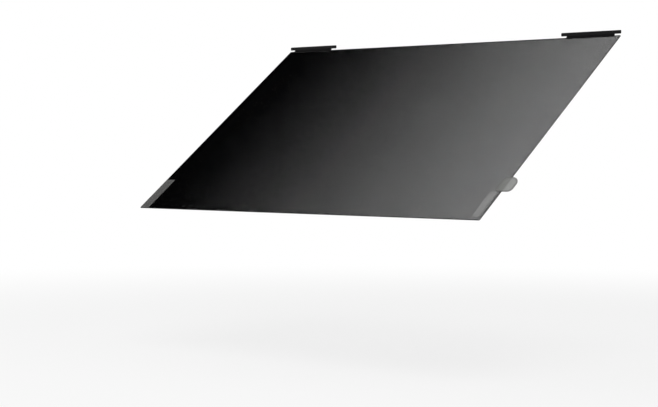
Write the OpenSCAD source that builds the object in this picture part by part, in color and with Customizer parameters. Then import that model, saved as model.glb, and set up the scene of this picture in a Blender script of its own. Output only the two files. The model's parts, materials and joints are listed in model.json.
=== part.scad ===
// Flip-up privacy filter for a 15 inch 3:2 display. A dark laminated film sheet hangs from two
// black moulded flip strips, whose upper leaves are stuck to the bezel above the screen.
// X runs along the fold line, Z up the upright display, and Y into the display. The origin is
// on the bezel's surface, level with the fold line and midway between the two strips.
// Everything on the sheet is drawn lying closed against the screen, then turned out by tilt_out.

/* [Filter sheet] */
// Width of the sheet, as wide as the visible screen
sheet_w = 316.8; // [200:0.1:400]
// Height of the sheet
sheet_h = 211.2; // [120:0.1:300]
// Thickness of the laminated sheet
sheet_t = 0.55; // [0.3:0.05:1.2]
// Radius of the sheet's die-cut corners
sheet_corner_r = 0.8; // [0.2:0.1:4]
// Angle between the sheet and the upright display at rest
tilt_out = 53; // [0:1:175]

/* [Flip strips] */
// Length of each flip strip along the fold line
strip_l = 50; // [20:0.5:80]
// Height of the leaf that is stuck to the bezel, above the fold line
bezel_leaf_h = 2.7; // [2.2:0.1:12]
// Height of the leaf that is stuck to the sheet, below the fold line
sheet_leaf_h = 2.6; // [2.5:0.1:12]
// How far the fold and the sheet leaf stop short of each end of the bezel leaf
fold_inset = 5; // [0:0.5:8]
// Thickness of both leaves
leaf_t = 0.5; // [0.4:0.05:0.9]
// Chamfer along each leaf's outer edge
leaf_chamfer = 0.2; // [0.05:0.05:0.35]
// Radius of the rounded corners at the ends of the leaves
leaf_corner_r = 0.6; // [0.1:0.1:0.9]
// Radius of the round bead that the fold turns on
bead_r = 0.4; // [0.3:0.05:0.6]
// Running clearance between the bead and its seat
bead_clearance = 0.05; // [0.02:0.01:0.09]
// Distance of the fold axis in front of the leaves, so that they can fold flat
axis_ahead = 0.15; // [0.15:0.01:0.2]
// Open groove behind the bead, between the two leaves
fold_groove = 0.3; // [0.3:0.05:0.6]
// Gap between the fold line and the sheet's top edge
sheet_drop = 0.5; // [0.4:0.1:1.2]

/* [Adhesive] */
// Thickness of the adhesive on the bezel leaf
bezel_tape_t = 0.2; // [0.05:0.05:0.8]
// Thickness of the adhesive between the sheet and its leaf
sheet_tape_t = 0.2; // [0.05:0.05:0.8]
// Margin of bare leaf round the adhesive
tape_margin = 0.3; // [0.1:0.05:0.6]

/* [Corner strips] */
// Thickness of the frosted corner strips
corner_strip_t = 0.25; // [0.1:0.05:0.6]
// Radius of their corners
corner_strip_r = 0.5; // [0.1:0.1:2]
// Width of the left strip
left_strip_w = 9.2; // [4:0.1:14]
// Height of the left strip
left_strip_h = 34.5; // [12:0.1:60]
// Distance of the left strip from the sheet's side edge
left_strip_side = 0.1; // [0:0.1:6]
// Distance of the left strip from the sheet's bottom edge
left_strip_low = 0.2; // [0:0.1:6]
// Width of the right strip
right_strip_w = 5.8; // [4:0.1:14]
// Height of the right strip
right_strip_h = 26.4; // [12:0.1:60]
// Distance of the right strip from the sheet's side edge
right_strip_side = 2.2; // [0:0.1:6]
// Distance of the right strip from the sheet's bottom edge
right_strip_low = 2.4; // [0:0.1:6]

/* [Lift tab] */
// How far the tab stands out past the sheet's side edge
tab_out = 7.8; // [5:0.1:14]
// How far the tab reaches in over the sheet
tab_in = 5; // [3:0.1:10]
// Height of the tab along the sheet's side edge
tab_h = 15; // [11:0.1:30]
// Gap between the tab's lower edge and the top of the right corner strip
tab_gap = 0.3; // [0.1:0.1:60]
// Thickness of the tab
tab_t = 0.5; // [0.3:0.05:1.2]
// Radius of the tab's upper outer corner
tab_upper_r = 7; // [3:0.1:7.5]
// Radius of the tab's lower outer corner
tab_lower_r = 3.4; // [2:0.1:3.5]
// Radius of the two corners that lie on the sheet
tab_inner_r = 2.5; // [1.6:0.1:2.5]
// Width of the raised rim round the tab
rim_w = 1.1; // [0.5:0.1:1.5]
// Height of the rim above the tab's front face
rim_h = 0.25; // [0.1:0.05:0.8]

/* [Hidden] */
$fn = 64;
LEFT = -1;
RIGHT = 1;
film_black = [0.05, 0.05, 0.055, 0.85];
strip_black = [0.06, 0.06, 0.065];
adhesive_grey = [0.32, 0.32, 0.33];
frosted = [0.72, 0.73, 0.74, 0.6];
smoke_clear = [0.55, 0.56, 0.55, 0.6];
// Planes of the closed filter, measured from the bezel's surface at y = 0
leaf_back_y = -bezel_tape_t;
leaf_front_y = leaf_back_y - leaf_t;
axis_y = leaf_front_y - axis_ahead;
sheet_front_y = leaf_back_y + sheet_tape_t;
sheet_top_z = -sheet_drop;
sheet_low_z = sheet_top_z - sheet_h;
side_x = sheet_w / 2;
tab_low = right_strip_low + right_strip_h + tab_gap;
// The fold, its bead and the sheet leaf are shorter than the bezel leaf
fold_l = strip_l - 2 * fold_inset;
// Adhesive pads keep their margin from every edge of the leaf they back
bezel_pad_l = strip_l - 2 * tape_margin;
sheet_pad_l = fold_l - 2 * tape_margin;
bezel_pad_low = fold_groove / 2 + tape_margin;
bezel_pad_h = bezel_leaf_h - tape_margin - bezel_pad_low;
sheet_pad_top = -sheet_drop - tape_margin;
sheet_pad_h = sheet_leaf_h - tape_margin + sheet_pad_top;

// Rectangle from [0, 0] to [w, h] with its corners rounded by
// r = [lower left, lower right, upper right, upper left]
module round_rect(w, h, r) {
    corner = [[0, 0], [w, 0], [w, h], [0, h]];
    inward = [[1, 1], [-1, 1], [-1, -1], [1, -1]];
    difference() {
        square([w, h]);
        for (i = [0 : 3])
            translate(corner[i])
                mirrored_to(inward[i])
                    corner_waste(r[i]);
    }
}

// Mirrors a shape of the first quadrant into the one that the two signs give
module mirrored_to(signs) {
    mirror([signs[0] < 0 ? 1 : 0, 0])
        mirror([0, signs[1] < 0 ? 1 : 0])
            children();
}

// What die cutting takes off a square corner of radius r
module corner_waste(r) {
    over = 0.5;
    difference() {
        translate([-over, -over])
            square(r + over);
        translate([r, r])
            circle(r);
    }
}

// Plate between the planes y and y + t, whose outline is drawn in X and Z
module plate(y, t) {
    translate([0, y + t, 0])
        rotate([90, 0, 0])
            linear_extrude(t)
                children();
}

// Section drawn in Y and Z, run along X from x over the length l
module run_x(x, l) {
    translate([x, 0, 0])
        rotate([90, 0, 90])
            linear_extrude(l)
                children();
}

// Turns a piece of the closed filter out to its place at rest
module turned_out() {
    translate([0, axis_y, 0])
        rotate([-tilt_out, 0, 0])
            translate([0, -axis_y, 0])
                children();
}

// Left end of the bezel leaf on one side, which is flush with the sheet's side edge
function strip_x(side) = side == LEFT ? -side_x : side_x - strip_l;

// Left end of the fold and of the sheet leaf on one side
function fold_x(side) = strip_x(side) + fold_inset;

// Section of one leaf standing on the fold line, with a chamfered outer edge
module leaf_section(h) {
    polygon([
        [leaf_front_y, fold_groove / 2],
        [leaf_back_y, fold_groove / 2],
        [leaf_back_y, h],
        [leaf_front_y + leaf_chamfer, h],
        [leaf_front_y, h - leaf_chamfer]
    ]);
}

// Leaf of length l and height h that starts at x. Its outer corners are rounded by leaf_corner_r,
// and the two at the fold by inner_r
module leaf(x, l, h, inner_r) {
    intersection() {
        run_x(x, l)
            leaf_section(h);
        plate(leaf_front_y, leaf_t)
            translate([x, fold_groove / 2])
                round_rect(l, h - fold_groove / 2, [inner_r, inner_r, leaf_corner_r, leaf_corner_r]);
    }
}

// Upper leaf, which carries the bead along the fold line
module bezel_leaf(side) {
    color(strip_black)
        union() {
            leaf(strip_x(side), strip_l, bezel_leaf_h, leaf_corner_r);
            run_x(fold_x(side), fold_l)
                union() {
                    translate([axis_y, 0])
                        circle(bead_r);
                    bead_root();
                }
        }
}

// Neck that joins the bead to the bezel leaf's lower edge
module bead_root() {
    polygon([
        [axis_y, 0],
        [leaf_front_y + leaf_t / 2, fold_groove / 2],
        [leaf_front_y + leaf_t / 2, fold_groove],
        [leaf_front_y, fold_groove + leaf_t / 2],
        [leaf_front_y, bead_r],
        [axis_y, bead_r]
    ]);
}

// Lower leaf, hollowed along the fold line to seat the bead
module sheet_leaf(side) {
    color(strip_black)
        turned_out()
            difference() {
                mirror([0, 0, 1])
                    leaf(fold_x(side), fold_l, sheet_leaf_h, 0);
                run_x(fold_x(side) - leaf_t, fold_l + 2 * leaf_t)
                    translate([axis_y, 0])
                        circle(bead_r + bead_clearance);
            }
}

// Adhesive pad that holds the upper leaf to the bezel
module bezel_tape(side) {
    color(adhesive_grey)
        plate(leaf_back_y, bezel_tape_t)
            translate([strip_x(side) + tape_margin, bezel_pad_low])
                square([bezel_pad_l, bezel_pad_h]);
}

// Adhesive pad between the lower leaf and the sheet
module sheet_tape(side) {
    color(adhesive_grey)
        turned_out()
            plate(leaf_back_y, sheet_tape_t)
                translate([fold_x(side) + tape_margin, sheet_pad_top - sheet_pad_h])
                    square([sheet_pad_l, sheet_pad_h]);
}

// The laminated film sheet: louvre film sealed between two clear skins, die cut in one piece
module filter_sheet() {
    color(film_black)
        turned_out()
            plate(sheet_front_y, sheet_t)
                translate([-side_x, sheet_low_z])
                    round_rect(sheet_w, sheet_h, sheet_corner_r * [1, 1, 1, 1]);
}

// Frosted self-adhesive strip on the front face near a lower corner
module corner_strip(side) {
    w = side == LEFT ? left_strip_w : right_strip_w;
    h = side == LEFT ? left_strip_h : right_strip_h;
    in = side == LEFT ? left_strip_side : right_strip_side;
    up = side == LEFT ? left_strip_low : right_strip_low;
    x = side == LEFT ? in - side_x : side_x - in - w;
    color(frosted)
        turned_out()
            plate(sheet_front_y - corner_strip_t, corner_strip_t)
                translate([x, sheet_low_z + up])
                    round_rect(w, h, corner_strip_r * [1, 1, 1, 1]);
}

// Outline of the lift tab, taken in by margin all round
module tab_outline(margin) {
    translate([side_x - tab_in + margin, sheet_low_z + tab_low + margin])
        round_rect(
            tab_in + tab_out - 2 * margin,
            tab_h - 2 * margin,
            [tab_inner_r, tab_lower_r, tab_upper_r, tab_inner_r] - margin * [1, 1, 1, 1]
        );
}

// Clear tab glued over the side edge, dished inside a raised rim so that a fingertip finds it
module lift_tab() {
    color(smoke_clear)
        turned_out()
            difference() {
                plate(sheet_front_y - tab_t - rim_h, tab_t + rim_h)
                    tab_outline(0);
                plate(sheet_front_y - tab_t - 2 * rim_h, 2 * rim_h)
                    tab_outline(rim_w);
            }
}

filter_sheet();
bezel_leaf(LEFT);  // bezel_leaf_left
bezel_leaf(RIGHT);  // bezel_leaf_right
sheet_leaf(LEFT);  // sheet_leaf_left
sheet_leaf(RIGHT);  // sheet_leaf_right
bezel_tape(LEFT);  // bezel_tape_left
bezel_tape(RIGHT);  // bezel_tape_right
sheet_tape(LEFT);  // sheet_tape_left
sheet_tape(RIGHT);  // sheet_tape_right
corner_strip(LEFT);  // corner_strip_left
corner_strip(RIGHT);  // corner_strip_right
lift_tab();
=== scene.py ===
import json
import math

import bmesh
import bpy
from bpy.props import FloatProperty, FloatVectorProperty, IntProperty, PointerProperty
from bpy.types import Operator, Panel, PropertyGroup
from mathutils import Matrix, Vector

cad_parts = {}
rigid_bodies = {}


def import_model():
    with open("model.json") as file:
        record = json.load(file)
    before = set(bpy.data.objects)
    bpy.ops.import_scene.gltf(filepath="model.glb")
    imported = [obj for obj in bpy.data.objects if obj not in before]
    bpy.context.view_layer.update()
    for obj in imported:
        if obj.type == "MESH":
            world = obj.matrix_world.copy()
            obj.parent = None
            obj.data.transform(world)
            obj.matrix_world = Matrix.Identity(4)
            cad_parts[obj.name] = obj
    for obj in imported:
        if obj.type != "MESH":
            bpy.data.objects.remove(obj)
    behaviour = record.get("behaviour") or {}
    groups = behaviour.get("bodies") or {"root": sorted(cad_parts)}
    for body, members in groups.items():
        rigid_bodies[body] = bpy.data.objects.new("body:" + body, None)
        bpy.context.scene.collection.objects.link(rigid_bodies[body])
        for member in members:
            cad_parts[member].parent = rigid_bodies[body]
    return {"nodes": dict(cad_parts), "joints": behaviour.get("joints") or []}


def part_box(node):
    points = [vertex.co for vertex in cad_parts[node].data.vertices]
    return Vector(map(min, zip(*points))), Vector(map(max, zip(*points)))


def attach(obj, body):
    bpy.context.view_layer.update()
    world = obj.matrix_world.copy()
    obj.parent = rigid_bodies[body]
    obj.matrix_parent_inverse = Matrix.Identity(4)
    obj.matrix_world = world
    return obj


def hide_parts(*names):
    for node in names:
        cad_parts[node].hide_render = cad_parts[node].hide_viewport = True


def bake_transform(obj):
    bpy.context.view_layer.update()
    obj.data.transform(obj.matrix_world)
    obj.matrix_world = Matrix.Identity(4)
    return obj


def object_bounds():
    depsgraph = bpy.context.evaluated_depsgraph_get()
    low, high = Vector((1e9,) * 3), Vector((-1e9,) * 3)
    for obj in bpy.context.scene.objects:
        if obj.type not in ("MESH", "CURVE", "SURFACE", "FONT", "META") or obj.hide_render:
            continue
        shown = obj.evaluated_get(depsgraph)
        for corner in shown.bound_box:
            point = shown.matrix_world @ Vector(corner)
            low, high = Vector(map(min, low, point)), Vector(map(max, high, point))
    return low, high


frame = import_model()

bl_info = {
    "name": "Flip-up Privacy Filter",
    "version": (1, 0, 0),
    "blender": (4, 5, 0),
    "location": "View3D > Sidebar > Filter",
    "description": "Dresses a flip-up privacy filter: film, flip strips, corner strips and tab",
    "category": "Object",
}

MM = 0.001
CAD_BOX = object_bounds()

# The flip joint gives the fold line and how far the sheet is turned out from its closed place
FLIP = frame["joints"][0]
FIXED_BODY, SHEET_BODY = FLIP["parent"], FLIP["child"]
FOLD = Vector(FLIP["pos_m"])
TURNED_OUT = -math.radians(FLIP["range_deg"][0])
TO_REST = (
    Matrix.Translation(FOLD)
    @ Matrix.Rotation(TURNED_OUT, 4, Vector(FLIP["axis"]))
    @ Matrix.Translation(-FOLD)
)
# Share of the circle that spreads any long run of numbers evenly
GOLDEN_SHARE = (math.sqrt(5) - 1) / 2

# Place and side of each square soft light, and the radius of the floor, in metres
KEY_LIGHT = ((0.95, -1.35, 1.65), 1.3)
FILL_LIGHT = ((-1.5, -1.3, 0.55), 1.5)
FLOOR_RADIUS = 6


def linear(hex_colour):
    """The linear colour, with alpha 1, of an sRGB hex value such as "#5B5B5B"."""
    channels = [int(hex_colour[i:i + 2], 16) / 255 for i in (1, 3, 5)]
    curve = [c / 12.92 if c <= 0.04045 else ((c + 0.055) / 1.055) ** 2.4 for c in channels]
    return (*curve, 1.0)


def closed_box(node):
    """Lowest and highest corner of one of the sheet's nodes with the filter closed."""
    to_closed = TO_REST.inverted()
    points = [to_closed @ v.co for v in frame["nodes"][node].data.vertices]
    return Vector(map(min, zip(*points))), Vector(map(max, zip(*points)))


# Sizes and colours

class FilmSettings(PropertyGroup):
    # Real slats are about 0.1 mm apart, drawn coarser at 0.15 mm: the eye can't part them either,
    # and they take less time to render
    louvre_pitch: FloatProperty(
        name="Slat spacing", description="Mean distance between two slats of the louvre film",
        default=0.15 * MM, min=0.05 * MM, max=1 * MM, precision=5, unit="LENGTH")
    louvre_thickness: FloatProperty(
        name="Slat thickness", description="Thickness of one slat",
        default=0.0465 * MM, min=0.005 * MM, max=0.1 * MM, precision=5, unit="LENGTH")
    spacing_spread: FloatProperty(
        name="Spacing spread", description="How far one gap may be from the mean, as a share of it",
        default=0.085, min=0, max=0.4, subtype="FACTOR")
    blackout_angle: FloatProperty(
        name="Blackout angle", description="Angle from straight on at which the mean gap closes",
        default=math.radians(56.7), min=math.radians(30), max=math.radians(75), unit="ROTATION")
    seal_width: FloatProperty(
        name="Edge seal", description="Width of the dark lacquer that seals the cut edge",
        default=0.3 * MM, min=0.05 * MM, max=2 * MM, precision=5, unit="LENGTH")
    corner: FloatProperty(
        name="Corner radius", description="Radius of the sheet's die-cut corners",
        default=0.8 * MM, min=0.2 * MM, max=4 * MM, precision=5, unit="LENGTH")
    cover: FloatProperty(
        name="Seal below surface", description="Depth of the edge seal inside the sheet's faces",
        default=0.02 * MM, min=0.005 * MM, max=0.1 * MM, precision=5, unit="LENGTH")
    skin_colour: FloatVectorProperty(
        name="Skin tint", description="Tint of the clear skins, laid on thinly",
        default=linear("#0A0A0B")[:3], min=0, max=1, size=3, subtype="COLOR")
    louvre_colour: FloatVectorProperty(
        name="Slats", description="Colour of the slats",
        default=linear("#030304")[:3], min=0, max=1, size=3, subtype="COLOR")


class StripSettings(PropertyGroup):
    leaf_thickness: FloatProperty(
        name="Leaf thickness", description="Thickness of both leaves of a flip strip",
        default=0.5 * MM, min=0.3 * MM, max=1 * MM, precision=5, unit="LENGTH")
    chamfer: FloatProperty(
        name="Chamfer", description="Chamfer along the outer edge of each leaf",
        default=0.2 * MM, min=0.05 * MM, max=0.4 * MM, precision=5, unit="LENGTH")
    corner: FloatProperty(
        name="Corner radius", description="Radius of the outer corners of each leaf",
        default=0.6 * MM, min=0.1 * MM, max=1.5 * MM, precision=5, unit="LENGTH")
    groove: FloatProperty(
        name="Fold groove", description="Width of the open groove behind the fold",
        default=0.3 * MM, min=0.1 * MM, max=0.6 * MM, precision=5, unit="LENGTH")
    softness: FloatProperty(
        name="Edge softness", description="Radius that moulding leaves on every edge",
        default=0.05 * MM, min=0.01 * MM, max=0.15 * MM, precision=5, unit="LENGTH")
    colour: FloatVectorProperty(
        name="Plastic", description="Colour of the moulded strips",
        default=linear("#0D0D0E")[:3], min=0, max=1, size=3, subtype="COLOR")
    adhesive_colour: FloatVectorProperty(
        name="Adhesive", description="Colour of the adhesive pads",
        default=linear("#B4B6B4")[:3], min=0, max=1, size=3, subtype="COLOR")


class CornerStripSettings(PropertyGroup):
    corner: FloatProperty(
        name="Corner radius", description="Radius of the die-cut corners",
        default=0.5 * MM, min=0.1 * MM, max=2 * MM, precision=5, unit="LENGTH")
    lift: FloatProperty(
        name="Adhesive", description="Thin layer of clear adhesive below the strip",
        default=0.02 * MM, min=0.005 * MM, max=0.05 * MM, precision=5, unit="LENGTH")
    cut_edge: FloatProperty(
        name="Cut edge", description="Bevel that the die leaves on the strip's edges",
        default=0.03 * MM, min=0.005 * MM, max=0.1 * MM, precision=5, unit="LENGTH")
    colour: FloatVectorProperty(
        name="Frosted film", description="Colour of the frosted strips",
        default=linear("#D9D9D7")[:3], min=0, max=1, size=3, subtype="COLOR")


class TabSettings(PropertyGroup):
    upper_corner: FloatProperty(
        name="Upper corner", description="Radius of the upper outer corner",
        default=7 * MM, min=3 * MM, max=7.5 * MM, precision=5, unit="LENGTH")
    lower_corner: FloatProperty(
        name="Lower corner", description="Radius of the lower outer corner",
        default=3.4 * MM, min=2 * MM, max=3.5 * MM, precision=5, unit="LENGTH")
    inner_corner: FloatProperty(
        name="Inner corners", description="Radius of the two corners that lie on the sheet",
        default=2.5 * MM, min=1.6 * MM, max=2.5 * MM, precision=5, unit="LENGTH")
    rim_width: FloatProperty(
        name="Rim width", description="Width of the raised rim",
        default=1.1 * MM, min=0.5 * MM, max=1.5 * MM, precision=5, unit="LENGTH")
    rim_height: FloatProperty(
        name="Rim height", description="Height of the rim above the dished middle",
        default=0.2 * MM, min=0.1 * MM, max=0.8 * MM, precision=5, unit="LENGTH")
    lift: FloatProperty(
        name="Adhesive", description="Thin layer of clear adhesive below the tab",
        default=0.02 * MM, min=0.005 * MM, max=0.05 * MM, precision=5, unit="LENGTH")
    colour: FloatVectorProperty(
        name="Tab", description="Colour of the dished middle",
        default=linear("#8C8D8A")[:3], min=0, max=1, size=3, subtype="COLOR")
    # The rim's darker colour is partly its thicker tint and partly painted edge shade, which stands
    # in for the darkening that refraction gives round the rim
    rim_colour_and_painted_edge_shade: FloatVectorProperty(
        name="Rim", description="Colour of the rim, which is thicker and so darker",
        default=linear("#757674")[:3], min=0, max=1, size=3, subtype="COLOR")


class StageSettings(PropertyGroup):
    floor_height: FloatProperty(
        name="Floor height", description="Height of the floor, below the closed sheet",
        default=-0.24, max=-0.2, unit="LENGTH")
    camera_place: FloatVectorProperty(
        name="Camera", description="Place of the camera, worked out from the sheet's corners",
        default=(762.3 * MM, -1006.6 * MM, -90.4 * MM), size=3, subtype="TRANSLATION")
    camera_turn: FloatProperty(
        name="Camera turn", description="Angle that the camera is turned left of straight on",
        default=math.radians(41.09), unit="ROTATION")
    camera_fall: FloatProperty(
        name="Camera fall", description="Angle that the camera looks down",
        default=math.radians(1.56), unit="ROTATION")
    camera_roll: FloatProperty(
        name="Camera roll", description="Angle that the camera is tipped sideways",
        default=math.radians(0.41), unit="ROTATION")
    focal_px: FloatProperty(
        name="Focal length", description="Focal length in pixels, for the picture width below",
        default=1626.1)
    picture_width: IntProperty(
        name="Picture width", description="Width in pixels that the focal length is given for",
        default=658)
    key_power: FloatProperty(
        name="Key light", description="Power of the soft light from the upper right",
        default=26, unit="POWER")
    fill_power: FloatProperty(
        name="Fill light", description="Power of the soft light from the left",
        default=9, unit="POWER")
    room_light: FloatProperty(
        name="Room light", description="Strength of the light that comes from all round",
        default=0.45, min=0, max=1)


# Meshes

def loft(name, rings, closed=False, second_from=None):
    """A piece whose skin runs over rings of equally many points, capped at both ends unless it
    closes on itself. Faces from the ring second_from on take the second material."""
    mesh = bpy.data.meshes.new(name)
    bm = bmesh.new()
    rows = [[bm.verts.new(point) for point in ring] for ring in rings]
    count = len(rings[0])
    pairs = list(zip(rows, rows[1:])) + ([(rows[-1], rows[0])] if closed else [])
    for number, (one, two) in enumerate(pairs):
        for i in range(count):
            j = (i + 1) % count
            face = bm.faces.new((one[i], one[j], two[j], two[i]))
            face.material_index = int(second_from is not None and number >= second_from)
    if not closed:
        bm.faces.new(rows[0][::-1])
        last = bm.faces.new(rows[-1])
        last.material_index = int(second_from is not None)
    bmesh.ops.recalc_face_normals(bm, faces=bm.faces)
    bm.to_mesh(mesh)
    bm.free()
    return add_object(name, mesh)


def add_object(name, data):
    """A mesh, light or camera as an object in the scene."""
    thing = bpy.data.objects.new(name, data)
    bpy.context.scene.collection.objects.link(thing)
    return thing


def shade(piece, angle=math.radians(35)):
    """Shades a piece smooth, except at edges sharper than angle."""
    piece.data.polygons.foreach_set("use_smooth", [True] * len(piece.data.polygons))
    piece.data.set_sharp_from_angle(angle=angle)


def settle(piece):
    """Applies a piece's modifiers, so that none is left on it."""
    bpy.context.view_layer.update()
    evaluated = piece.evaluated_get(bpy.context.evaluated_depsgraph_get())
    done = bpy.data.meshes.new_from_object(evaluated)
    piece.modifiers.clear()
    piece.data = done


def unite(piece, other):
    """Joins another closed piece into a piece, as one skin."""
    union = piece.modifiers.new("union", "BOOLEAN")
    union.operation, union.solver, union.object = "UNION", "EXACT", other
    settle(piece)
    bpy.data.objects.remove(other)


def soften(piece, radius):
    """Rounds every sharp edge of a smooth-shaded piece, and keeps flat faces flat to the eye."""
    bevel = piece.modifiers.new("soft edges", "BEVEL")
    bevel.width = radius
    bevel.segments = 2
    bevel.harden_normals = True
    bevel.limit_method = "ANGLE"
    bevel.angle_limit = math.radians(30)
    settle(piece)


def rounded_outline(low, high, radii, margin=0.0, steps=8):
    """Points in X and Z round the rectangle from low to high, taken in by margin.
    The radii are those of the lower left, lower right, upper right and upper left corners."""
    corners = (
        (low.x, low.z, 1, 1), (high.x, low.z, -1, 1),
        (high.x, high.z, -1, -1), (low.x, high.z, 1, -1),
    )
    least_radius = 0.02 * MM
    points = []
    for quarter, ((x, z, in_x, in_z), radius) in enumerate(zip(corners, radii)):
        r = max(radius - margin, least_radius)
        centre_x, centre_z = x + in_x * (margin + r), z + in_z * (margin + r)
        for step in range(steps + 1):
            angle = math.pi * (1 + quarter / 2) + math.pi / 2 * step / steps
            points.append((centre_x + r * math.cos(angle), centre_z + r * math.sin(angle)))
    return points


def plate_rings(low, high, radii, section):
    """Rings of a flat piece of the sheet, in its place at rest. The section lists, from one end of
    the skin to the other, margins from the outline and depths Y."""
    return [
        [TO_REST @ Vector((x, y, z)) for x, z in rounded_outline(low, high, radii, margin)]
        for margin, y in section
    ]


# Materials

def add_node(tree, kind, inputs=None, **settings):
    """Adds a node, with its settings, and its inputs as values or as the sockets that feed them."""
    node = tree.nodes.new(kind)
    for name, value in settings.items():
        setattr(node, name, value)
    for key, value in (inputs or {}).items():
        if isinstance(value, bpy.types.NodeSocket):
            tree.links.new(value, node.inputs[key])
        else:
            node.inputs[key].default_value = value
    return node


def empty_material(name):
    """A new material and its empty node tree."""
    material = bpy.data.materials.new(name)
    material.use_nodes = True
    material.node_tree.nodes.clear()
    return material, material.node_tree


def grain(tree, size, detail=3.0):
    """A pattern whose bumps are about size across, in the piece's own metres."""
    place = add_node(tree, "ShaderNodeTexCoord").outputs["Object"]
    noise = add_node(tree, "ShaderNodeTexNoise", {
        "Vector": place, "Scale": 1 / size, "Detail": detail})
    return noise.outputs["Fac"]


def mottled(tree, colour, pattern, least, most, low=0.0, high=1.0):
    """The colour, times least where the pattern is low and times most where it is high."""
    value = add_node(tree, "ShaderNodeMapRange", {
        "Value": pattern, "From Min": low, "From Max": high, "To Min": least, "To Max": most})
    return add_node(tree, "ShaderNodeHueSaturation", {
        "Value": value.outputs["Result"], "Color": (*colour, 1)}).outputs["Color"]


def hard_coated_polyester(settings):
    """Clear polyester skin with a satin hard coat, cast and laminated: nearly no body of its own
    and a faint, soft shine that wanders a little where the coat is thicker."""
    material, tree = empty_material("hard_coated_polyester_satin")
    roughness = add_node(tree, "ShaderNodeMapRange", {
        "Value": grain(tree, 18 * MM), "To Min": 0.24, "To Max": 0.34})
    # The satin bumps are a few hundredths of a millimetre, drawn at 0.4 mm so that they show
    bump = add_node(tree, "ShaderNodeBump", {
        "Height": grain(tree, 0.4 * MM), "Strength": 0.15, "Distance": 0.01 * MM})
    skin = add_node(tree, "ShaderNodeBsdfPrincipled", {
        "Base Color": (*settings.skin_colour, 1), "Roughness": roughness.outputs["Result"],
        "IOR": 1.57, "Alpha": 0.03, "Normal": bump.outputs["Normal"]})
    add_node(tree, "ShaderNodeOutputMaterial", {"Surface": skin.outputs["BSDF"]})
    return material


def black_silicone(settings):
    """Black-filled silicone, skived into louvre slats: swallows what meets it and has no shine, and
    the knife leaves faint streaks."""
    material, tree = empty_material("black_silicone_skived")
    colour = add_node(tree, "ShaderNodeMixRGB", {
        "Fac": grain(tree, 0.2 * MM, detail=1.0), "Color1": linear("#000000"),
        "Color2": (*settings.louvre_colour, 1)})
    slat = add_node(tree, "ShaderNodeBsdfPrincipled", {
        "Base Color": colour.outputs[0], "Roughness": 1.0, "Specular IOR Level": 0.0})
    add_node(tree, "ShaderNodeOutputMaterial", {"Surface": slat.outputs["BSDF"]})
    return material


def black_edge_lacquer():
    """Black lacquer brushed along the cut edge: a thin dark line with a weak, broken shine."""
    material, tree = empty_material("black_lacquer_brushed")
    roughness = add_node(tree, "ShaderNodeMapRange", {
        "Value": grain(tree, 1.5 * MM), "To Min": 0.4, "To Max": 0.65})
    lacquer = add_node(tree, "ShaderNodeBsdfPrincipled", {
        "Base Color": linear("#09090A"), "Roughness": roughness.outputs["Result"],
        "IOR": 1.5, "Specular IOR Level": 0.2})
    add_node(tree, "ShaderNodeOutputMaterial", {"Surface": lacquer.outputs["BSDF"]})
    return material


def moulded_polypropylene(settings):
    """Black polypropylene, injection moulded with a fine spark texture: deep black with a soft,
    grainy sheen along its edges."""
    material, tree = empty_material("black_polypropylene_moulded")
    # The texture of the mould is about 0.1 mm, drawn at 0.35 mm so that it shows
    texture = grain(tree, 0.35 * MM)
    roughness = add_node(tree, "ShaderNodeMapRange", {
        "Value": grain(tree, 6 * MM), "To Min": 0.5, "To Max": 0.64})
    bump = add_node(tree, "ShaderNodeBump", {
        "Height": texture, "Strength": 0.4, "Distance": 0.02 * MM})
    plastic = add_node(tree, "ShaderNodeBsdfPrincipled", {
        "Base Color": mottled(tree, settings.colour, texture, 0.7, 1.4, low=0.35, high=0.65),
        "Roughness": roughness.outputs["Result"], "IOR": 1.49, "Specular IOR Level": 0.15,
        "Normal": bump.outputs["Normal"]})
    add_node(tree, "ShaderNodeOutputMaterial", {"Surface": plastic.outputs["BSDF"]})
    return material


def acrylic_adhesive(settings):
    """Acrylic adhesive, cast on film and die cut: milky, rubbery and faintly mottled with fine
    bubbles."""
    material, tree = empty_material("acrylic_adhesive_cast")
    bubbles = grain(tree, 0.5 * MM)
    gum = add_node(tree, "ShaderNodeBsdfPrincipled", {
        "Base Color": mottled(tree, settings.adhesive_colour, bubbles, 0.85, 1.1),
        "Roughness": 0.45, "IOR": 1.47})
    add_node(tree, "ShaderNodeOutputMaterial", {"Surface": gum.outputs["BSDF"]})
    return material


def frosted_polyester(settings):
    """Frosted polyester film, cast with a matt face: a thin milky veil with a very fine grain."""
    material, tree = empty_material("frosted_polyester_cast")
    # The frosting is about 0.02 mm, drawn at 0.3 mm so that it shows
    frosting = grain(tree, 0.3 * MM)
    veil = add_node(tree, "ShaderNodeMapRange", {
        "Value": frosting, "To Min": 0.065, "To Max": 0.095})
    bump = add_node(tree, "ShaderNodeBump", {
        "Height": frosting, "Strength": 0.3, "Distance": 0.01 * MM})
    film = add_node(tree, "ShaderNodeBsdfPrincipled", {
        "Base Color": (*settings.colour, 1), "Roughness": 0.75, "IOR": 1.57,
        "Specular IOR Level": 0.2, "Alpha": veil.outputs["Result"],
        "Normal": bump.outputs["Normal"]})
    add_node(tree, "ShaderNodeOutputMaterial", {"Surface": film.outputs["BSDF"]})
    return material


def smoked_vinyl(name, colour, alpha, roughness):
    """Smoke-grey vinyl, moulded and left clear enough to see light through: milky where it is thin,
    with faint clouds where it flowed in the mould."""
    material, tree = empty_material(name)
    flow = grain(tree, 3 * MM)
    vinyl = add_node(tree, "ShaderNodeBsdfPrincipled", {
        "Base Color": mottled(tree, colour, flow, 0.92, 1.08),
        "Roughness": roughness, "IOR": 1.53, "Alpha": alpha})
    add_node(tree, "ShaderNodeOutputMaterial", {"Surface": vinyl.outputs["BSDF"]})
    return material


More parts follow.
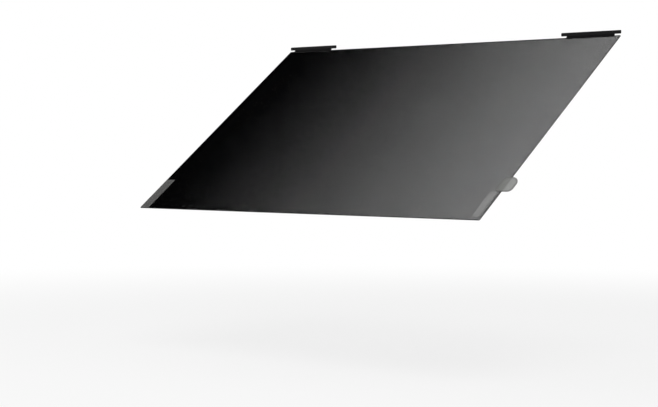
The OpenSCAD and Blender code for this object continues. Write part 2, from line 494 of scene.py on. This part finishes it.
def seen_share(tree, path):
    """1 for what is seen, straight or through something clear, and 0 for what only lights."""
    return add_node(tree, "ShaderNodeMath", {
        0: path.outputs["Is Camera Ray"], 1: path.outputs["Is Transmission Ray"]},
        operation="MAXIMUM").outputs["Value"]


def studio_floor():
    """Seamless white paper. It shows the shadow, and fades to plain white before the horizon."""
    # Where the fade begins and ends, in metres from the middle, and how white it is before that
    fade_start, fade_end, white_near = 0.35, 1.1, 0.7
    material, tree = empty_material("white_paper_floor")
    place = add_node(tree, "ShaderNodeTexCoord").outputs["Object"]
    far = add_node(tree, "ShaderNodeVectorMath", {0: place}, operation="LENGTH")
    fade = add_node(tree, "ShaderNodeMapRange", {
        "Value": far.outputs["Value"], "From Min": fade_start, "From Max": fade_end},
        interpolation_type="SMOOTHSTEP")
    whiteness = add_node(tree, "ShaderNodeMapRange", {
        "Value": fade.outputs["Result"], "To Min": white_near, "To Max": 1.0})
    shown_white = add_node(tree, "ShaderNodeMath", {
        0: seen_share(tree, add_node(tree, "ShaderNodeLightPath")),
        1: whiteness.outputs["Result"]}, operation="MULTIPLY")
    paper = add_node(tree, "ShaderNodeBsdfDiffuse", {
        "Color": linear("#F4F4F4"), "Roughness": 0.0})
    white = add_node(tree, "ShaderNodeEmission", {"Color": (1, 1, 1, 1), "Strength": 1.0})
    lit = add_node(tree, "ShaderNodeMixShader", {
        0: shown_white.outputs["Value"], 1: paper.outputs["BSDF"], 2: white.outputs["Emission"]})
    # From below the floor isn't there, so that the underside can be seen
    below = add_node(tree, "ShaderNodeNewGeometry").outputs["Backfacing"]
    clear = add_node(tree, "ShaderNodeBsdfTransparent")
    floor = add_node(tree, "ShaderNodeMixShader", {
        0: below, 1: lit.outputs["Shader"], 2: clear.outputs["BSDF"]})
    add_node(tree, "ShaderNodeOutputMaterial", {"Surface": floor.outputs["Shader"]})
    return material


def studio_world(room_light):
    """A white room. Its light is plain, and where it shows in the picture it is pure white."""
    world = bpy.data.worlds.new("white_studio")
    world.use_nodes = True
    tree = world.node_tree
    tree.nodes.clear()
    path = add_node(tree, "ShaderNodeLightPath")
    light = add_node(tree, "ShaderNodeBackground", {
        "Color": (1, 1, 1, 1), "Strength": room_light})
    # A shiny face meets the grey walls all round and the dimmer ceiling above them. Their heights
    # run from 0 at the horizon to 1 straight up
    wall_light, wall_top = 0.5, 0.15
    ceiling_light, ceiling_start = 0.12, 0.6
    height = add_node(tree, "ShaderNodeSeparateXYZ", {
        "Vector": add_node(tree, "ShaderNodeTexCoord").outputs["Generated"]})
    dimmer = add_node(tree, "ShaderNodeMapRange", {
        "Value": height.outputs["Z"], "From Min": wall_top, "From Max": ceiling_start,
        "To Min": wall_light, "To Max": ceiling_light}, interpolation_type="SMOOTHSTEP")
    mirrored = add_node(tree, "ShaderNodeBackground", {
        "Color": (1, 1, 1, 1), "Strength": dimmer.outputs["Result"]})
    shine = add_node(tree, "ShaderNodeMixShader", {
        0: path.outputs["Is Glossy Ray"], 1: light.outputs["Background"],
        2: mirrored.outputs["Background"]})
    white = add_node(tree, "ShaderNodeBackground", {"Color": (1, 1, 1, 1), "Strength": 1.0})
    both = add_node(tree, "ShaderNodeMixShader", {
        0: seen_share(tree, path), 1: shine.outputs["Shader"], 2: white.outputs["Background"]})
    add_node(tree, "ShaderNodeOutputWorld", {"Surface": both.outputs["Shader"]})
    return world


def finish_piece(piece, slot, *materials):
    """Gives a piece its materials. The slot is not used."""
    for number, material in enumerate(materials):
        if number < len(piece.data.materials):
            piece.data.materials[number] = material
        else:
            piece.data.materials.append(material)


# The filter's pieces

class PRIVACYFILTER_OT_film_sheet(Operator):
    """Dress the laminated sheet: clear skins, louvre slats between them and a sealed cut edge"""
    bl_idname = "privacy_filter.film_sheet"
    bl_label = "Film Sheet"

    def execute(self, context):
        settings = context.scene.privacy_film
        node = frame["nodes"]["filter_sheet"]
        finish_piece(node, "louvre_film", hard_coated_polyester(settings))
        low, high = closed_box("filter_sheet")
        self.lay_louvres(settings, low, high)
        self.seal_edge(settings, low, high)
        return {"FINISHED"}

    def lay_louvres(self, settings, low, high):
        """Upright slats, as deep as the blackout angle asks for, in the middle of the sheet."""
        margin = settings.cover + settings.seal_width
        half_slat = settings.louvre_thickness / 2
        gap = settings.louvre_pitch - settings.louvre_thickness
        half_depth = gap / math.tan(settings.blackout_angle) / 2
        middle = (low.y + high.y) / 2
        places = self.slat_places(
            high.x - low.x - 2 * margin, settings.louvre_pitch, settings.spacing_spread)
        corners = [
            (side, y, z) for side in (-half_slat, half_slat)
            for z in (low.z + margin, high.z - margin)
            for y in (middle - half_depth, middle + half_depth)
        ]
        box_faces = (
            (0, 2, 3, 1), (4, 5, 7, 6), (0, 1, 5, 4), (2, 6, 7, 3), (0, 4, 6, 2), (1, 3, 7, 5))
        verts, faces = [], []
        for place in places:
            x, first = low.x + margin + place, len(verts)
            verts += [TO_REST @ Vector((x + side, y, z)) for side, y, z in corners]
            faces += [[first + i for i in face] for face in box_faces]
        mesh = bpy.data.meshes.new("louvre_slats")
        mesh.from_pydata(verts, [], faces)
        slats = add_object("louvre_slats", mesh)
        finish_piece(slats, "louvre_film", black_silicone(settings))
        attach(slats, SHEET_BODY)

    def slat_places(self, width, pitch, spread):
        """Places of the slats across the width. Their spacing wanders by a fixed, even sequence."""
        places, place = [], pitch / 2
        while place < width:
            places.append(place)
            share = len(places) * GOLDEN_SHARE % 1
            place += pitch * (1 + spread * (2 * share - 1))
        return places

    def seal_edge(self, settings, low, high):
        """A narrow dark band round the sheet, just inside its faces."""
        front, back = low.y + settings.cover, high.y - settings.cover
        outer, inner = settings.cover, settings.cover + settings.seal_width
        section = ((outer, front), (outer, back), (inner, back), (inner, front))
        rings = plate_rings(low, high, [settings.corner] * 4, section)
        seal = loft("edge_seal", rings, closed=True)
        finish_piece(seal, "louvre_film", black_edge_lacquer())
        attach(seal, SHEET_BODY)


class PRIVACYFILTER_OT_flip_strips(Operator):
    """Mould the two flip strips, each in one piece along its fold"""
    bl_idname = "privacy_filter.flip_strips"
    bl_label = "Flip Strips"

    def execute(self, context):
        settings = context.scene.privacy_strips
        plastic = moulded_polypropylene(settings)
        for side in ("left", "right"):
            strip = self.mould(settings, side)
            finish_piece(strip, "strip_black", plastic)
            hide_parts(f"bezel_leaf_{side}", f"sheet_leaf_{side}")
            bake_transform(strip)
        return {"FINISHED"}

    def bead_radius(self, side):
        """Radius of the bead, which is what stands in front of the fold line."""
        return FOLD.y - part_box(f"bezel_leaf_{side}")[0].y

    def mould(self, settings, side):
        """The bezel leaf, joined to the shorter run of bead and sheet leaf that hangs from it."""
        low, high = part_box(f"bezel_leaf_{side}")
        sheet_low, sheet_high = closed_box(f"sheet_leaf_{side}")
        bead = self.bead_radius(side)
        strip = self.run(
            settings, f"flip_strip_{side}", low.x, high.x,
            lambda cut: self.leaf_section(settings, high.y, high.z, cut, cut))
        unite(strip, self.run(
            settings, "hanging_part", sheet_low.x, sheet_high.x,
            lambda cut: self.hanging_section(settings, high.y, -sheet_low.z, cut, bead)))
        shade(strip)
        soften(strip, settings.softness)
        return strip

    def run(self, settings, name, low_x, high_x, section, turns=6):
        """A section run along the fold line, in turns steps round the corners at each end. The
        section is told how much the corners cut off at a place."""
        radius = settings.corner
        ends = [radius * (1 - math.cos(math.pi / 2 * i / turns)) for i in range(turns + 1)]
        stations = [(low_x + d, d) for d in ends] + [(high_x - d, d) for d in reversed(ends)]
        rings = []
        for x, d in stations:
            cut = radius - math.sqrt(radius ** 2 - (radius - d) ** 2)
            rings.append([Vector((x, y, z)) for y, z in section(cut)])
        return loft(name, rings)

    def leaf_section(self, settings, back, height, cut, inner_cut):
        """Outline in Y and Z of a leaf that stands up from the fold line, starting in front of the
        fold and going round its back."""
        front, top = back - settings.leaf_thickness, height - cut
        bottom = settings.groove / 2 + inner_cut
        return [
            (front, bottom), (back, bottom), (back, top),
            (front + settings.chamfer, top), (front, top - settings.chamfer),
        ]

    def hanging_section(self, settings, back, height, cut, bead):
        """Outline in Y and Z at rest of the bead and the sheet leaf that stands out from it."""
        leaf = [
            TO_REST @ Vector((0, y, -z))
            for y, z in self.leaf_section(settings, back, height, cut, inner_cut=0)[1:]
        ]
        # Angles round the fold line where the bead meets the leaf, on its front and in the groove
        at_front = math.acos((back - settings.leaf_thickness - FOLD.y) / bead)
        at_groove = math.asin(settings.groove / 2 / bead)
        round_bead = self.arc(
            bead, -at_groove - TURNED_OUT, 2 * math.pi - at_front - TURNED_OUT, steps=28)
        return round_bead + [(p.y, p.z) for p in reversed(leaf)]

    def arc(self, radius, start, end, steps):
        """Points round the fold line between two angles."""
        angles = [start + (end - start) * i / steps for i in range(steps + 1)]
        return [(FOLD.y + radius * math.cos(a), FOLD.z + radius * math.sin(a)) for a in angles]


class PRIVACYFILTER_OT_adhesive_pads(Operator):
    """Finish the adhesive pads behind the flip strips"""
    bl_idname = "privacy_filter.adhesive_pads"
    bl_label = "Adhesive Pads"

    def execute(self, context):
        gum = acrylic_adhesive(context.scene.privacy_strips)
        for name, node in frame["nodes"].items():
            if "tape" in name:
                finish_piece(node, "adhesive", gum)
        return {"FINISHED"}


class PRIVACYFILTER_OT_corner_strips(Operator):
    """Cut the two frosted strips on the sheet's lower corners"""
    bl_idname = "privacy_filter.corner_strips"
    bl_label = "Corner Strips"

    def execute(self, context):
        settings = context.scene.privacy_corner_strips
        film = frosted_polyester(settings)
        edge = settings.cut_edge
        for side in ("left", "right"):
            node = f"corner_strip_{side}"
            low, high = closed_box(node)
            front, back = low.y, high.y - settings.lift
            section = ((edge, back), (0, back - edge), (0, front + edge), (edge, front))
            rings = plate_rings(low, high, [settings.corner] * 4, section)
            strip = loft(f"frosted_strip_{side}", rings)
            shade(strip)
            finish_piece(strip, "frosted_film", film)
            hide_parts(node)
            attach(strip, SHEET_BODY)
        return {"FINISHED"}


class PRIVACYFILTER_OT_pull_tab(Operator):
    """Mould the tab on the side edge, dished inside its rim"""
    bl_idname = "privacy_filter.pull_tab"
    bl_label = "Pull Tab"

    def execute(self, context):
        settings = context.scene.privacy_tab
        low, high = closed_box("lift_tab")
        radii = (
            settings.inner_corner, settings.lower_corner,
            settings.upper_corner, settings.inner_corner,
        )
        back, crown, rim = high.y - settings.lift, low.y, settings.rim_width
        dish = crown + settings.rim_height
        # Round the back edge, round the outer edge of the crown, and softly down into the dish
        rim_section = (
            (0.1 * MM, back), (0.03 * MM, back - 0.03 * MM), (0, back - 0.1 * MM),
            (0, crown + 0.15 * MM), (0.04 * MM, crown + 0.05 * MM), (0.15 * MM, crown),
            (rim - 0.3 * MM, crown), (rim - 0.15 * MM, crown + 0.04 * MM), (rim, dish - 0.06 * MM),
        )
        dish_section = ((rim + 0.12 * MM, dish - 0.01 * MM), (rim + 0.3 * MM, dish))
        rings = plate_rings(low, high, radii, rim_section + dish_section)
        tab = loft("pull_tab", rings, second_from=len(rim_section) - 1)
        shade(tab)
        # The rim's copy of the vinyl is darker: partly its thicker tint, partly painted edge shade
        # in place of refraction at the rim
        finish_piece(
            tab, "tab_clear",
            smoked_vinyl("smoked_vinyl_rim_painted_edge_shade", settings.rim_colour_and_painted_edge_shade, alpha=0.7, roughness=0.35),
            smoked_vinyl("smoked_vinyl_dish", settings.colour, alpha=0.6, roughness=0.4))
        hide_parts("lift_tab")
        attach(tab, SHEET_BODY)
        return {"FINISHED"}


class PRIVACYFILTER_OT_stage(Operator):
    """Set the floor, the soft lights, the white room and the camera"""
    bl_idname = "privacy_filter.stage"
    bl_label = "Stage"

    def execute(self, context):
        settings = context.scene.privacy_stage
        self.lay_floor(settings.floor_height)
        self.hang_light("key_light", *KEY_LIGHT, settings.key_power)
        self.hang_light("fill_light", *FILL_LIGHT, settings.fill_power)
        context.scene.world = studio_world(settings.room_light)
        self.place_camera(context.scene, settings)
        context.scene.view_settings.view_transform = "Standard"
        return {"FINISHED"}

    def lay_floor(self, height):
        """A round floor of paper at a height."""
        mesh = bpy.data.meshes.new("floor")
        bm = bmesh.new()
        bmesh.ops.create_circle(bm, cap_ends=True, segments=96, radius=FLOOR_RADIUS)
        bm.to_mesh(mesh)
        bm.free()
        mesh.materials.append(studio_floor())
        floor = add_object("floor", mesh)
        floor.location.z = height

    def hang_light(self, name, place, side, power):
        """A square soft light that faces the middle of the filter."""
        lamp = bpy.data.lights.new(name, "AREA")
        lamp.shape, lamp.size, lamp.energy = "SQUARE", side, power
        light = add_object(name, lamp)
        light.location = place
        middle = (CAD_BOX[0] + CAD_BOX[1]) / 2
        light.rotation_euler = (middle - Vector(place)).to_track_quat("-Z", "Y").to_euler()

    def place_camera(self, scene, settings):
        """The camera, turned left, tipped down and rolled from straight on."""
        lens = bpy.data.cameras.new("camera")
        lens.lens = lens.sensor_width * settings.focal_px / settings.picture_width
        camera = add_object("camera", lens)
        upright = math.pi / 2 - settings.camera_fall
        camera.matrix_world = (
            Matrix.Translation(settings.camera_place)
            @ Matrix.Rotation(settings.camera_turn, 4, "Z")
            @ Matrix.Rotation(upright, 4, "X")
            @ Matrix.Rotation(settings.camera_roll, 4, "Z")
        )
        scene.camera = camera


PIECES = (
    PRIVACYFILTER_OT_film_sheet,
    PRIVACYFILTER_OT_flip_strips,
    PRIVACYFILTER_OT_adhesive_pads,
    PRIVACYFILTER_OT_corner_strips,
    PRIVACYFILTER_OT_pull_tab,
    PRIVACYFILTER_OT_stage,
)
SETTINGS = {
    "privacy_film": FilmSettings,
    "privacy_strips": StripSettings,
    "privacy_corner_strips": CornerStripSettings,
    "privacy_tab": TabSettings,
    "privacy_stage": StageSettings,
}


class PRIVACYFILTER_PT_panel(Panel):
    bl_label = "Privacy Filter"
    bl_idname = "PRIVACYFILTER_PT_panel"
    bl_space_type = "VIEW_3D"
    bl_region_type = "UI"
    bl_category = "Filter"

    def draw(self, context):
        for name, group in SETTINGS.items():
            box = self.layout.box()
            for prop in group.__annotations__:
                box.prop(getattr(context.scene, name), prop)
        for piece in PIECES:
            self.layout.operator(piece.bl_idname)


def register():
    for cls in (*SETTINGS.values(), *PIECES, PRIVACYFILTER_PT_panel):
        bpy.utils.register_class(cls)
    for name, group in SETTINGS.items():
        setattr(bpy.types.Scene, name, PointerProperty(type=group))


def unregister():
    for name in SETTINGS:
        delattr(bpy.types.Scene, name)
    for cls in reversed((*SETTINGS.values(), *PIECES, PRIVACYFILTER_PT_panel)):
        bpy.utils.unregister_class(cls)


def main():
    """Makes every piece and the stage."""
    register()
    bpy.ops.privacy_filter.film_sheet()
    bpy.ops.privacy_filter.flip_strips()
    bpy.ops.privacy_filter.adhesive_pads()
    bpy.ops.privacy_filter.corner_strips()
    bpy.ops.privacy_filter.pull_tab()
    bpy.ops.privacy_filter.stage()


if __name__ == "__main__":
    main()
